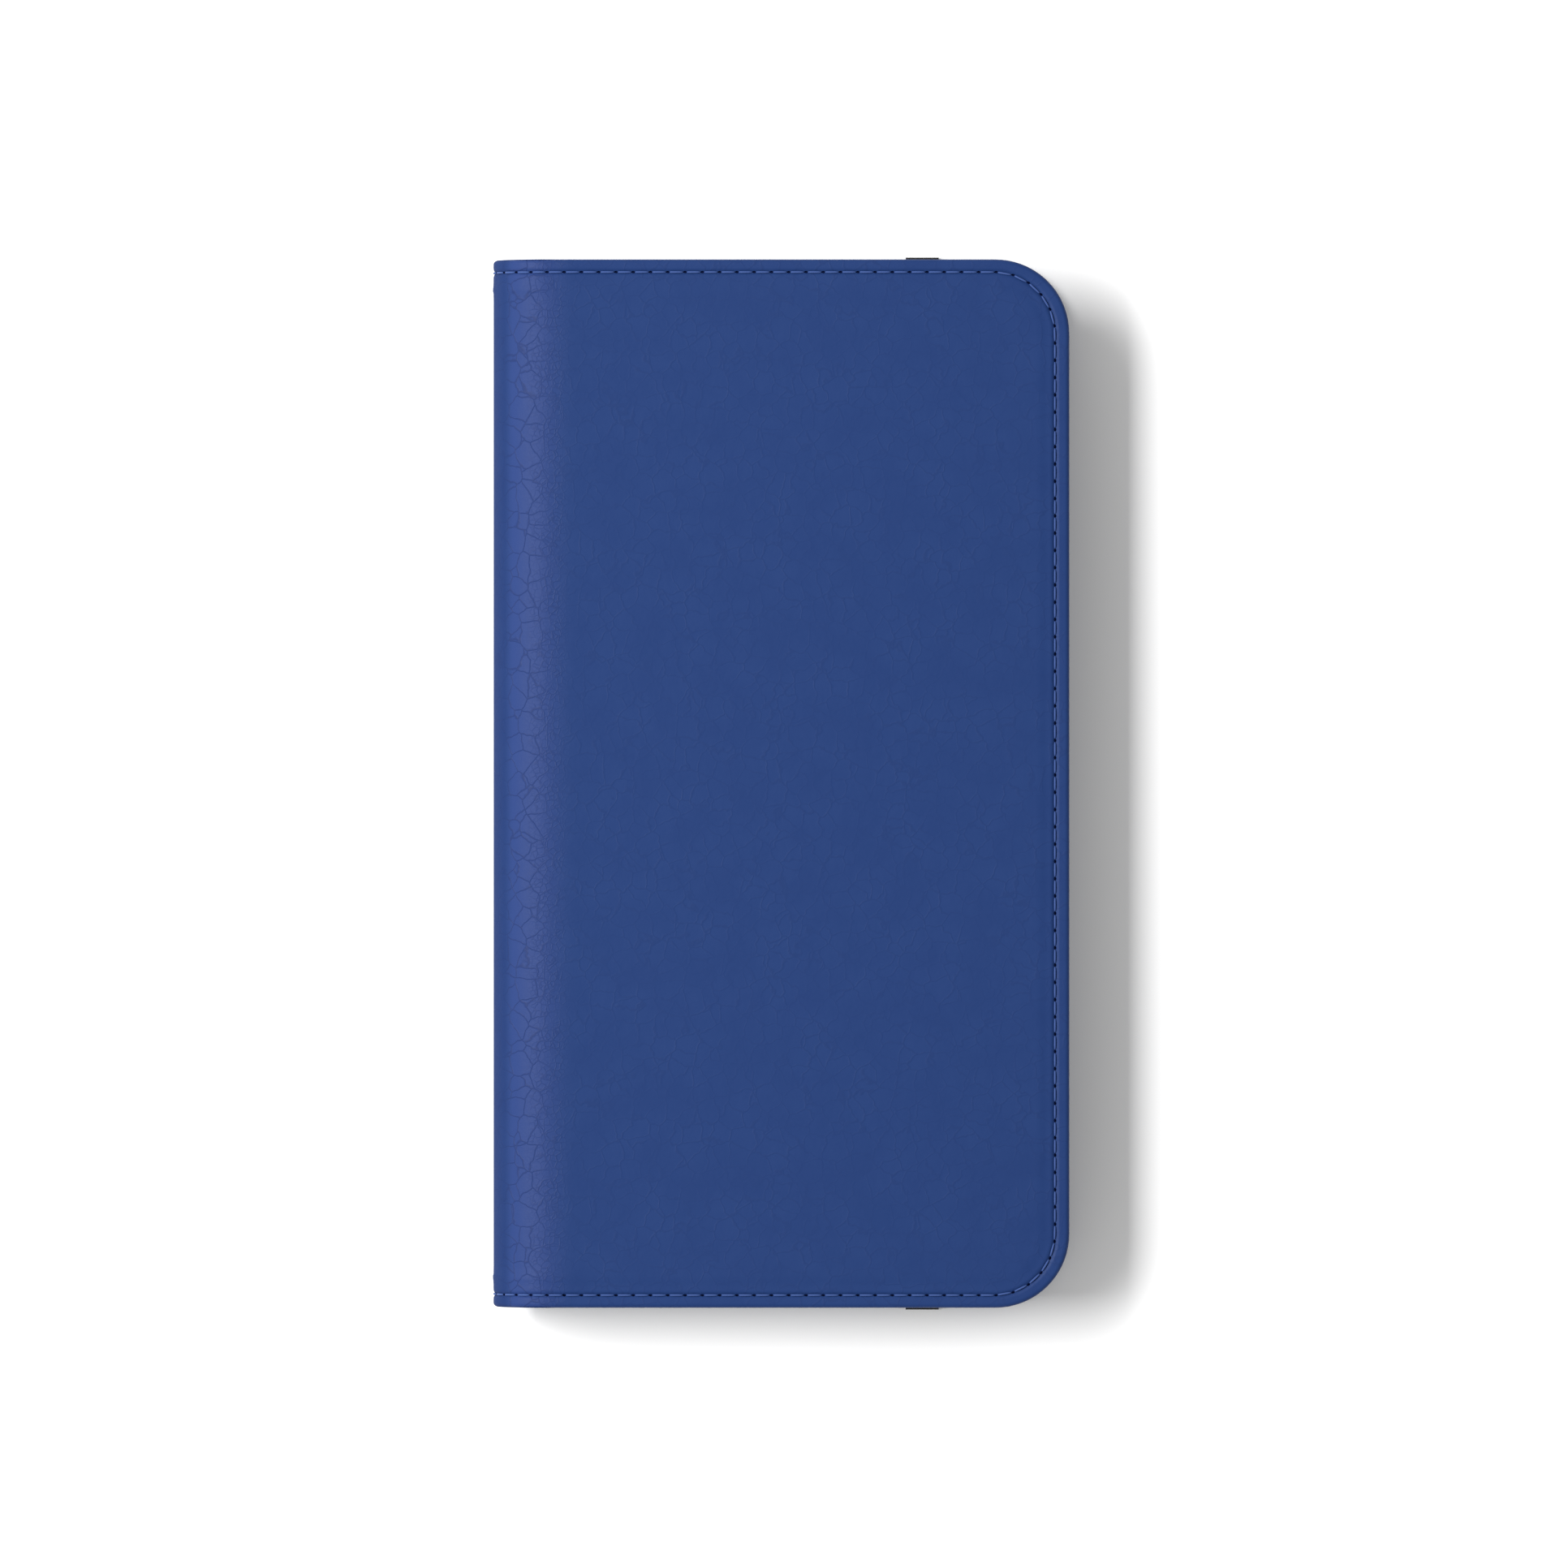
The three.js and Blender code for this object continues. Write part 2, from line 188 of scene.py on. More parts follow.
def new_mesh(name, points, faces, coordinates=None, sharp_faces=()):
    """A mesh object with smooth faces. coordinates become its UV map. The edges of sharp_faces stay hard."""
    mesh = bpy.data.meshes.new(name)
    mesh.from_pydata([tuple(p) for p in points], [], faces)
    mesh.polygons.foreach_set("use_smooth", [True] * len(mesh.polygons))
    if coordinates is not None:
        layer = mesh.uv_layers.new(name="flat")
        corner = np.zeros(len(mesh.loops), np.int32)
        mesh.loops.foreach_get("vertex_index", corner)
        layer.data.foreach_set("uv", np.asarray(coordinates, np.float32)[corner].ravel())
    if sharp_faces:
        keys = {tuple(sorted(k)) for f in sharp_faces for k in mesh.polygons[f].edge_keys}
        for edge in mesh.edges:
            if tuple(sorted(edge.vertices)) in keys:
                edge.use_edge_sharp = True
    solid = bmesh.new()
    solid.from_mesh(mesh)
    bmesh.ops.recalc_face_normals(solid, faces=solid.faces)
    solid.to_mesh(mesh)
    solid.free()
    return in_scene(name, mesh)


# -------- materials
def node_material(name):
    material = bpy.data.materials.new(name)
    material.use_nodes = True
    tree = material.node_tree
    return material, tree, tree.nodes["Principled BSDF"]


def add(tree, kind, inputs=None, **settings):
    """A new node. inputs holds a value or another node's output for each of its sockets."""
    node = tree.nodes.new(kind)
    for key, value in settings.items():
        setattr(node, key, value)
    for key, value in (inputs or {}).items():
        if isinstance(value, bpy.types.NodeSocket):
            tree.links.new(value, node.inputs[key])
        else:
            node.inputs[key].default_value = value
    return node


def math_node(tree, operation, a, b=0.0):
    return add(tree, "ShaderNodeMath", {0: a, 1: b}, operation=operation).outputs[0]


def times(tree, a, b):
    return math_node(tree, "MULTIPLY", a, b)


def ramp(tree, value, low, high, start=0.0, end=1.0):
    inputs = {"Value": value, "From Min": low, "From Max": high, "To Min": start, "To Max": end}
    return add(tree, "ShaderNodeMapRange", inputs, interpolation_type="SMOOTHSTEP").outputs[0]


def mix_colour(tree, factor, a, b):
    """Sockets 0, 6 and 7 of a colour mix are its factor and its two colours, and output 2 is the result."""
    return add(tree, "ShaderNodeMix", {0: factor, 6: a, 7: b}, data_type="RGBA").outputs[2]


def srgb(red, green, blue):
    def linear(v):
        v /= 255
        return v / 12.92 if v <= 0.04045 else ((v + 0.055) / 1.055) ** 2.4
    return (linear(red), linear(green), linear(blue), 1.0)


def vector_node(tree, operation, inputs):
    return add(tree, "ShaderNodeVectorMath", inputs, operation=operation).outputs[0]


def in_millimetres(tree, vector):
    return vector_node(tree, "SCALE", {0: vector, "Scale": 1 / MM})


def flat_coordinates(tree):
    """The unrolled place on the cover."""
    return in_millimetres(tree, add(tree, "ShaderNodeUVMap", uv_map="flat").outputs[0])


def object_coordinates(tree):
    return in_millimetres(tree, add(tree, "ShaderNodeTexCoord").outputs["Object"])


def noise(tree, vector, scale, detail=2.0, roughness=0.5, output=0):
    """scale is per millimetre where the vector is in millimetres."""
    inputs = {"Vector": vector, "Scale": scale, "Detail": detail, "Roughness": roughness}
    return add(tree, "ShaderNodeTexNoise", inputs).outputs[output]


def warped(tree, vector, scale, amount):
    """vector pushed about by a noise, so that cells lose their straight sides."""
    push = noise(tree, vector, scale, output="Color")
    centred = vector_node(tree, "SUBTRACT", {0: push, 1: (0.5, 0.5, 0.5)})
    grown = vector_node(tree, "SCALE", {0: centred, "Scale": amount})
    return vector_node(tree, "ADD", {0: vector, 1: grown})


def creases(tree, vector, cell, width):
    """1 on a cell's crown and 0 in the thin crease round it. cell and width are in the vector's units."""
    inputs = {"Vector": vector, "Scale": 1 / cell}
    edge = add(tree, "ShaderNodeTexVoronoi", inputs, feature="DISTANCE_TO_EDGE").outputs["Distance"]
    return ramp(tree, edge, 0.0, width / cell)


def bump(tree, height, distance, normal=None):
    inputs = {"Height": height, "Distance": distance, "Strength": 1.0}
    if normal is not None:
        inputs["Normal"] = normal
    return add(tree, "ShaderNodeBump", inputs).outputs[0]


def surface(tree, shader, colour, roughness, normal=None, specular=None):
    """Wires a material's colour, roughness and normal into its shader, and sets its specular level."""
    for socket, value in (("Base Color", colour), ("Roughness", roughness), ("Normal", normal)):
        if value is not None:
            tree.links.new(value, shader.inputs[socket])
    if specular is not None:
        shader.inputs["Specular IOR Level"].default_value = specular


BLUE_DARK = srgb(26, 48, 94)
BLUE_LIGHT = srgb(28, 50, 96)
# painted shade: darkens the creases and the spine's side turned away from the lamp
BLUE_PAINTED_SHADE = srgb(16, 26, 62)
# painted highlight: a lighter blue laid over the spine's round where it faces the lamp
BLUE_PAINTED_HIGHLIGHT = srgb(38, 55, 105)


def blue_leather():
    """Smooth blue leather-look skin. It is creased into pebbles where it bends round the spine. A painted
    highlight lightens the spine's round where it faces the lamp, and painted shade darkens the creases and
    the spine's side turned away.
    """
    material, tree, shader = node_material("blue_leather_look")
    flat = flat_coordinates(tree)
    grain = noise(tree, flat, 2.6, 4.0, 0.6)
    mottle = noise(tree, flat, 0.16, 3.0, 0.55)

    # past counts mm from where the spine ends: above 0 on either cover, below 0 on the spine
    across = add(tree, "ShaderNodeSeparateXYZ", {0: flat}).outputs[0]
    half_arc = SPINE_ARC / 2 / MM
    from_middle = math_node(tree, "ABSOLUTE", math_node(tree, "ADD", across, half_arc))
    past = math_node(tree, "SUBTRACT", from_middle, half_arc)
    bent = ramp(tree, past, 2.4, -2.6)
    on_side = ramp(tree, past, -5.9, -7.9)
    # crown: the band of the spine's round that faces the lamp, lightened below with a painted highlight
    crown = times(tree, ramp(tree, past, 3.6, -1.6), ramp(tree, past, -7.4, -5.6))
    shoulder = times(tree, ramp(tree, past, 4.0, 1.0), ramp(tree, past, -4.2, -1.6))

    def crease_layer(push_scale, push, cell, width, share):
        """Creases round warped cells of that size, as deep as share says."""
        cells = creases(tree, warped(tree, flat, push_scale, push), cell, width)
        return times(tree, math_node(tree, "SUBTRACT", 1.0, cells), share)

    pebble_share = times(tree, bent, ramp(tree, on_side, 0.0, 1.0, 0.85, 0.3))
    pebbles = crease_layer(0.4, 1.3, 2.9, 0.13, pebble_share)
    fine_patches = ramp(tree, noise(tree, flat, 0.35), 0.36, 0.56, 0.2, 0.5)
    fine = crease_layer(1.1, 0.6, 0.95, 0.12, times(tree, fine_patches, shoulder))
    vein_patches = ramp(tree, noise(tree, flat, 0.16, 3.0), 0.34, 0.66, 0.25, 1.0)
    vein_share = times(tree, vein_patches, ramp(tree, bent, 0.0, 1.0, 0.32, 0.0))
    veins = crease_layer(0.4, 2.2, 2.7, 0.2, vein_share)
    crease = math_node(tree, "MAXIMUM", pebbles, math_node(tree, "MAXIMUM", fine, veins))

    base = mix_colour(tree, ramp(tree, mottle, 0.3, 0.7), BLUE_DARK, BLUE_LIGHT)
    # painted highlight on the spine's round; painted shade on the spine's side away from the lamp and in the
    # creases, whose bump is real
    for region, share, tint in (
            (crown, 0.6, BLUE_PAINTED_HIGHLIGHT), (on_side, 0.24, BLUE_PAINTED_SHADE), (crease, 0.42, BLUE_PAINTED_SHADE)):
        base = mix_colour(tree, times(tree, region, share), base, tint)
    rough = ramp(tree, grain, 0.25, 0.75, 0.43, 0.5)
    for region, more in ((on_side, 0.3), (bent, 0.05)):
        rough = math_node(tree, "ADD", rough, times(tree, region, more))

    normal = bump(tree, math_node(tree, "SUBTRACT", 1.0, crease), 0.045 * MM)
    for height, share, depth in ((noise(tree, flat, 0.55), 0.7, 0.045 * MM), (grain, 0.35, 0.02 * MM)):
        normal = bump(tree, times(tree, height, ramp(tree, bent, 0.0, 1.0, share, 1.0)), depth, normal)
    surface(tree, shader, base, rough, normal, 0.09)
    return material


def thread_material(name, light, dark):
    """Twisted sewing thread: its plies wind round each stitch. u runs along the stitch and v round it. dark
    is painted shade in the grooves between the plies.
    """
    plies, turns_per_metre = 3, 1.6 / MM
    material, tree, shader = node_material(name)
    uv = add(tree, "ShaderNodeUVMap", uv_map="flat").outputs[0]
    split = add(tree, "ShaderNodeSeparateXYZ", {0: uv})
    along = times(tree, split.outputs[0], turns_per_metre)
    ply = times(tree, math_node(tree, "ADD", along, split.outputs[1]), 2 * PI * plies)
    ridge = ramp(tree, math_node(tree, "SINE", ply), -1.0, 0.8)
    fuzz = noise(tree, object_coordinates(tree), 9.0, 3.0)
    # painted shade: darker in the grooves between plies, lighter on their tops
    shade = mix_colour(tree, ridge, dark, light)
    normal = bump(tree, fuzz, 0.01 * MM, bump(tree, ridge, 0.015 * MM))
    surface(tree, shader, shade, ramp(tree, fuzz, 0.3, 0.7, 0.42, 0.6), normal, 0.15)
    return material


def hole_material():
    """Painted shade: the dark inside of a needle hole."""
    material, tree, shader = node_material("needle_hole")
    fuzz = noise(tree, object_coordinates(tree), 6.0)
    shade = mix_colour(tree, fuzz, srgb(8, 13, 38), srgb(12, 20, 52))
    surface(tree, shader, shade, ramp(tree, fuzz, 0.2, 0.8, 0.75, 0.95), specular=0.0)
    return material


def microfibre():
    """Short-napped black lining: soft patches, lighter and darker as painted sheen where the nap lies one way
    or the other.
    """
    material, tree, shader = node_material("black_microfibre")
    place = object_coordinates(tree)
    nap = noise(tree, place, 0.12, 4.0, 0.6)
    fibre = noise(tree, place, 7.0, 4.0, 0.7)
    # painted sheen: patches lighter and darker where the nap lies one way or the other
    shade = mix_colour(tree, ramp(tree, nap, 0.35, 0.65), srgb(17, 18, 20), srgb(24, 25, 28))
    shade = mix_colour(tree, ramp(tree, fibre, 0.3, 0.7, 0.0, 0.35), shade, srgb(34, 35, 39))
    shader.inputs["Sheen Weight"].default_value = 0.06
    surface(tree, shader, shade, ramp(tree, nap, 0.3, 0.7, 0.82, 0.95), bump(tree, fibre, 0.03 * MM), 0.1)
    return material


def pocket_leather():
    """Thin black leather-look sheet of the card and cash pockets."""
    material, tree, shader = node_material("black_pocket_leather")
    place = object_coordinates(tree)
    cells = creases(tree, warped(tree, place, 1.6, 0.4), 0.75, 0.14)
    grain = noise(tree, place, 4.0, 4.0, 0.6)
    # painted shade: the creases between the grain's cells are darker
    shade = mix_colour(tree, cells, srgb(8, 8, 10), srgb(21, 21, 24))
    normal = bump(tree, grain, 0.015 * MM, bump(tree, cells, 0.02 * MM))
    surface(tree, shader, shade, ramp(tree, grain, 0.25, 0.75, 0.48, 0.62), normal, 0.22)
    return material


def elastic_material():
    """Narrow woven elastic: lengthwise cords crossed by fine weft."""
    material, tree, shader = node_material("woven_elastic")
    place = object_coordinates(tree)
    split = add(tree, "ShaderNodeSeparateXYZ", {0: place})
    cords, weft = (
        math_node(tree, "SINE", times(tree, split.outputs[axis], 2 * PI / pitch))
        for axis, pitch in ((0, 0.62), (1, 0.34)))
    weave = ramp(tree, times(tree, cords, weft), -1.0, 1.0)
    fuzz = noise(tree, place, 8.0, 3.0)
    # painted shade: darker in the hollows of the weave, lighter on the raised cords
    shade = mix_colour(tree, weave, srgb(9, 9, 11), srgb(24, 24, 27))
    normal = bump(tree, fuzz, 0.02 * MM, bump(tree, weave, 0.06 * MM))
    surface(tree, shader, shade, ramp(tree, fuzz, 0.3, 0.7, 0.7, 0.9), normal, 0.2)
    return material


def shell_plastic():
    """Black polycarbonate with a fine spark-eroded satin face."""
    material, tree, shader = node_material("black_polycarbonate")
    place = object_coordinates(tree)
    spark = noise(tree, place, 5.0, 3.0, 0.6)
    handled = noise(tree, place, 0.06, 3.0)
    shade = mix_colour(tree, handled, srgb(15, 16, 18), srgb(18, 19, 21))
    surface(tree, shader, shade, ramp(tree, handled, 0.35, 0.65, 0.4, 0.44), bump(tree, spark, 0.012 * MM))
    return material


def board_material():
    """Grey stiffener board with long pressed fibres."""
    material, tree, shader = node_material("grey_board_stock")
    place = object_coordinates(tree)
    fibre = noise(tree, place, 1.2, 5.0, 0.7)
    speck = noise(tree, place, 6.0)
    shade = mix_colour(tree, fibre, srgb(118, 112, 102), srgb(156, 150, 138))
    surface(tree, shader, shade, ramp(tree, speck, 0.2, 0.8, 0.82, 0.96), bump(tree, fibre, 0.03 * MM))
    return material


def pad_material():
    """White foam tape that bonds the shell to the lining."""
    material, tree, shader = node_material("white_foam_tape")
    cells = noise(tree, object_coordinates(tree), 2.4, 4.0, 0.7)
    shade = mix_colour(tree, cells, srgb(206, 206, 200), srgb(232, 232, 228))
    surface(tree, shader, shade, ramp(tree, cells, 0.2, 0.8, 0.6, 0.8), bump(tree, cells, 0.03 * MM))
    return material


LEATHER = blue_leather()
HOLE = hole_material()
BLUE_THREAD = thread_material("blue_seam_thread", srgb(56, 78, 130), srgb(50, 71, 122))
BLACK_THREAD = thread_material("black_seam_thread", srgb(40, 40, 44), srgb(16, 16, 18))
NAP = microfibre()
POCKET = pocket_leather()
ELASTIC = elastic_material()
PLASTIC = shell_plastic()


# -------- sheets sewn round their edge
def rim_thickness(u):
    """The skin's thickness at its rim: turned over double on a cover, single round the spine."""
    return SKIN + (RIM_THICKNESS - SKIN) * smooth(u, -1.5 * MM, 2.5 * MM)


def face_height(inset, seam):
    """Height of the outer face near the edge: the board's step, the seam's groove and the rounded edge."""
    off_seam = inset - seam
    groove = -GROOVE_DEPTH * np.exp(-((off_seam / GROOVE_HALF_WIDTH) ** 2))
    board_step = -BOARD_STEP * smooth(-inset, -4.8 * MM, -3.2 * MM)
    rounded = np.clip((EDGE_ROUNDING - inset) / EDGE_ROUNDING, 0, 1)
    edge = -EDGE_DROP * (1 - np.sqrt(1 - rounded ** 2))
    return groove + board_step + edge


OUTER_INSETS = [4.6, 4.2, 3.9, 3.6, 3.3]
SEAM_OFFSETS = [0.95, 0.8, 0.65, 0.5, 0.38, 0.26, 0.13, 0.0, -0.13, -0.26, -0.38, -0.5, -0.65, -0.8]
EDGE_INSETS = [0.92, 0.78, 0.62, 0.46, 0.32, 0.2, 0.1, 0.03, 0.0]


def skin_rings(seam, thickness):
    """(inset, height) of each ring, from the panel's border round the edge to the inner face."""
    insets = [i * MM for i in OUTER_INSETS]
    insets += [seam + o * MM for o in SEAM_OFFSETS]
    insets += [i * MM for i in EDGE_INSETS]
    rings = [(i, face_height(i, seam)) for i in insets]
    low = -thickness
    rings += [(0.0, low / 2)]
    rings += [(i * MM, low + rise * MM) for i, rise in ((0.02, 0.28), (0.1, 0.1), (0.28, 0.0), (0.7, 0.0))]
    rings += [(RIM_WIDTH, low), (RIM_WIDTH + 0.1 * MM, -SKIN)]
    return rings


def sheet_rings(inset, top, bottom):
    """The same for a thin sheet whose edge is inset from the cover's, rounded all the way round."""
    half = (top - bottom) / 2
    middle = (top + bottom) / 2
    turns = np.linspace(PI / 2, -PI / 2, 9)
    rings = [(RIM_WIDTH, top), (inset + 1.5 * MM, top)]
    rings += [(inset + half * (1 - math.cos(t)), middle + half * math.sin(t)) for t in turns]
    return rings + [(inset + 1.5 * MM, bottom), (RIM_WIDTH, bottom)]


def cover_columns(start):
    """Columns of the panel grid as (u, half height of the column, angle on the corner or None)."""
    corner_u = COVER_REACH - CORNER_RADIUS
    count = max(2, round((corner_u - start) / COLUMN_STEP))
    columns = [(u, HALF_LENGTH - PANEL_INSET, None) for u in np.linspace(start, corner_u, count + 1)[:-1]]
    radius = CORNER_RADIUS - PANEL_INSET
    for angle in np.linspace(-PI / 2, 0, 19):
        high = HALF_LENGTH - CORNER_RADIUS - radius * math.sin(angle)
        columns.append((corner_u + radius * math.cos(angle), high, angle))
    return columns


def strip_columns(start, end):
    count = max(2, round(abs(end - start) / SPINE_COLUMN_STEP))
    return [(u, HALF_LENGTH - PANEL_INSET, None) for u in np.linspace(start, end, count + 1)]


def edge_lines(columns, around):
    """The panel's sewn borders as lists of (column, row, outward u, outward y, seam inset)."""
    last = len(columns) - 1
    low, high = [], []
    for i, (_, _, angle) in enumerate(columns):
        out_u = math.cos(angle) if angle is not None else 0.0
        out_y = math.sin(angle) if angle is not None else -1.0
        seam = SEAM_FROM_END + (SEAM_FROM_EDGE - SEAM_FROM_END) * float(smooth(out_u, 0, 1))
        low.append((i, 0, out_u, out_y, seam))
        high.append((i, PANEL_ROWS, out_u, -out_y, seam))
    if not around:
        return [low, high]
    side = [(last, j, 1.0, 0.0, SEAM_FROM_EDGE) for j in range(1, PANEL_ROWS)]
    return [low + side + high[::-1]]


class Panel:
    """A sheet with two faces, closed by rings round its sewn borders and capped where it is split. Its points
    are (u, y, height), where u runs from the spine towards the free edge."""

    def __init__(self, columns, around, ring_rule, outer, inner, to_s):
        self.to_s = to_s
        self.points, self.faces, self.caps = [], [], []
        share = np.linspace(-1, 1, PANEL_ROWS + 1)
        self.u = np.array([c[0] for c in columns])
        self.y = np.array([c[1] * share for c in columns])
        self.top = self._grid(outer)
        self.bottom = self._grid(inner)
        self.rings = [self._ring(line, ring_rule) for line in edge_lines(columns, around)]
        self._cap(0)
        if not around:
            self._cap(-1)

    def _grid(self, height):
        first = len(self.points)
        for i, u in enumerate(self.u):
            for y in self.y[i]:
                self.points.append((u, y, height(u, y)))
        n = PANEL_ROWS + 1
        return first + np.arange(len(self.u) * n).reshape(len(self.u), n)

    def _ring(self, line, ring_rule):
        rows = []
        for i, j, out_u, out_y, seam in line:
            u, y = self.u[i], self.y[i][j]
            ids = [self.top[i][j]]
            for inset, height in ring_rule(seam, u):
                move = PANEL_INSET - inset
                ids.append(len(self.points))
                self.points.append((u + out_u * move, y + out_y * move, height))
            ids.append(self.bottom[i][j])
            rows.append(ids)
        for a, b in zip(rows, rows[1:]):
            self.faces += [(a[k], b[k], b[k + 1], a[k + 1]) for k in range(len(a) - 1)]
        return rows

    def _cap(self, end):
        """Closes the split at the first column (0) or the last (-1)."""
        if len(self.rings) == 1:
            low, high = self.rings[0][0], self.rings[0][-1]
        else:
            low, high = self.rings[0][end], self.rings[1][end]
        loop = list(self.top[end]) + high[1:-1] + list(self.bottom[end][::-1]) + low[1:-1][::-1]
        self.caps.append(tuple(int(v) for v in loop))

    def fill(self, hole):
        """The quads of both grids, apart from the cells that hole cuts away."""
        skip = hole(self) if hole else ()
        for i in range(len(self.u) - 1):
            for j in range(PANEL_ROWS):
                if (i, j) in skip:
                    continue
                for g in (self.top, self.bottom):
                    self.faces.append((g[i][j], g[i + 1][j], g[i + 1][j + 1], g[i][j + 1]))

    def build(self, name):
        place = np.array(self.points)
        s = self.to_s(place[:, 0])
        faces = [tuple(int(v) for v in f) for f in self.faces]
        caps = range(len(faces), len(faces) + len(self.caps))
        flat = np.stack([s, place[:, 1]], axis=-1)
        return new_mesh(name, wrap(s, place[:, 1], place[:, 2]), faces + self.caps, flat, list(caps))


def front_s(u):
    return np.asarray(u, float)


def back_s(u):
    return -SPINE_ARC - np.asarray(u, float)


def relief(s, y):
    """The outer face's height over the plain wrapped shape: the spine's ends are turned over double and stand
    a little proud, and each cover's flat face dips gently into the spine's round."""
    bent = smooth(s, -SPINE_ARC, -SPINE_ARC + 2 * MM) * (1 - smooth(s, -2 * MM, 1 * MM))
    proud = SPINE_END_PROUD * bent * smooth(abs(y), HALF_LENGTH - 5.2 * MM, HALF_LENGTH - 4.4 * MM)
    past = s if s > -SPINE_ARC / 2 else -SPINE_ARC - s
    dip = FOLD_DIP * smooth(-past, -4 * MM, 2.5 * MM) * (1 - smooth(-past, 2.5 * MM, 9 * MM))
    return float(proud - dip)


def skin_panel(columns, around, to_s, hole):
    """One part of the outer skin. around says whether the seam runs round its free edge too."""
    def rings(seam, u):
        s = float(to_s(u))
        lift = relief(s, HALF_LENGTH)
        outside = len(OUTER_INSETS) + len(SEAM_OFFSETS) + len(EDGE_INSETS)
        thickness = float(rim_thickness(u if around else -SPINE_ARC))
        return [(i, h + (lift if k < outside else 0)) for k, (i, h) in enumerate(skin_rings(seam, thickness))]

    panel = Panel(columns, around, rings, lambda u, y: relief(float(to_s(u)), y), lambda u, y: -SKIN, to_s)
    panel.fill(hole)
    return panel


def window_hole(low, high, profile):
    """Cuts the camera window into a cover's panel. Rings run from the cells round it down through its edge:
    profile lists each ring's distance from the hole and its height."""
    radius = WINDOW_RADIUS + COVER_WINDOW_STEP
    middle = ((low[0] + high[0]) / 2, (low[1] + high[1]) / 2)
    core = ((high[0] - low[0]) / 2 - radius, (high[1] - low[1]) / 2 - radius)
    margin = 3.2 * MM

    def cutter(panel):
        u, y = panel.u, panel.y[0]
        i0, i1 = np.searchsorted(u, low[0] - margin) - 1, np.searchsorted(u, high[0] + margin)
        j0, j1 = np.searchsorted(y, low[1] - margin) - 1, np.searchsorted(y, high[1] + margin)
        loop = [(i, j0) for i in range(i0, i1)] + [(i1, j) for j in range(j0, j1)]
        loop += [(i, j1) for i in range(i1, i0, -1)] + [(i0, j) for j in range(j1, j0, -1)]
        rows = []
        for i, j in loop:
            place = np.array([u[i], y[j]])
            near = np.array([np.clip(place[k], middle[k] - core[k], middle[k] + core[k]) for k in (0, 1)])
            out = (place - near) / np.linalg.norm(place - near)
            ids = [panel.top[i][j]]
            for distance, height in profile:
                ids.append(len(panel.points))
                spot = near + out * (radius + distance)
                panel.points.append((spot[0], spot[1], height))
            ids.append(panel.bottom[i][j])
            rows.append(ids)
        for a, b in zip(rows, rows[1:] + rows[:1]):
            panel.faces += [(a[k], b[k], b[k + 1], a[k + 1]) for k in range(len(a) - 1)]
        return {(i, j) for i in range(i0, i1) for j in range(j0, j1)}

    return cutter


def across_fold(obj):
    """Bakes obj's place into its mesh."""
    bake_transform(obj)


def dressed(obj, material, slot, *nodes):
    obj.data.materials.append(material)
    if nodes:
        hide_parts(*nodes)
    return obj


# (distance from the hole, height) in mm of each ring, from the outer face inwards
SKIN_WINDOW_EDGE = [
    (2.2, 0.0), (1.4, 0.0), (0.9, -0.02), (0.6, -0.08), (0.35, -0.2), (0.15, -0.36), (0.0, -0.6),
    (0.0, -0.8), (0.1, -0.95), (0.5, -1.0),
]


def cover_window():
    """Lowest and highest corner (u, y) of the back cover's window, a step wider than the shell's."""
    centre = (WINDOW_CENTRE[0] - SPINE_X, WINDOW_CENTRE[1])
    half = [h + COVER_WINDOW_STEP for h in WINDOW_HALF]
    return [tuple(centre[k] + side * half[k] for k in (0, 1)) for side in (-1, 1)]


def four_parts(make, edge, kind, layer, material, slot):
    """A layer of the case as a front, two spine parts and a back."""
    hole = window_hole(*cover_window(), edge)
    upper, middle, lower = FOLD_SPLITS
    parts = [
        (f"front_cover_{kind}", [f"front_cover_{layer}"], (cover_columns(upper), True, front_s, None)),
        (f"spine_{kind}_upper", [f"spine_{layer}_3", f"spine_{layer}_2"],
         (strip_columns(middle, upper), False, front_s, None)),
        (f"spine_{kind}_lower", [f"spine_{layer}_1"], (strip_columns(lower, middle), False, front_s, None)),
        (f"back_cover_{kind}", [f"back_cover_{layer}"], (cover_columns(upper), True, back_s, hole)),
    ]
    made = []
    for (name, nodes, panel), fold in zip(parts, PART_FOLD.values()):
        made.append(dressed(make(*panel).build(name), material, slot, *nodes))
        across_fold(made[-1])
    return made


def leather_skins():
    edge = [(distance * MM, height * MM) for distance, height in SKIN_WINDOW_EDGE]
    four_parts(skin_panel, edge, "skin", "leather", LEATHER, "blue_leather")


def lining_panel(columns, around, to_s, hole):
    """One part of the lining, just under the skin's rim."""
    def top(u):
        return -float(rim_thickness(u if around else -SPINE_ARC)) - LAYER_GAP

    def rings(seam, u):
        return sheet_rings(LINING_INSET, top(u), top(u) - LINING)

    panel = Panel(columns, around, rings, lambda u, y: top(u), lambda u, y: top(u) - LINING, to_s)
    panel.fill(hole)
    return panel


def linings():
    top = -RIM_THICKNESS - LAYER_GAP
    edge = [(1.0 * MM, top), (0.1 * MM, top), (0.0, top - 0.1 * MM), (0.0, top - 0.4 * MM),
            (0.1 * MM, top - LINING), (1.0 * MM, top - LINING)]
    front, upper, lower, back = four_parts(lining_panel, edge, "nap", "lining", NAP, "black_lining")


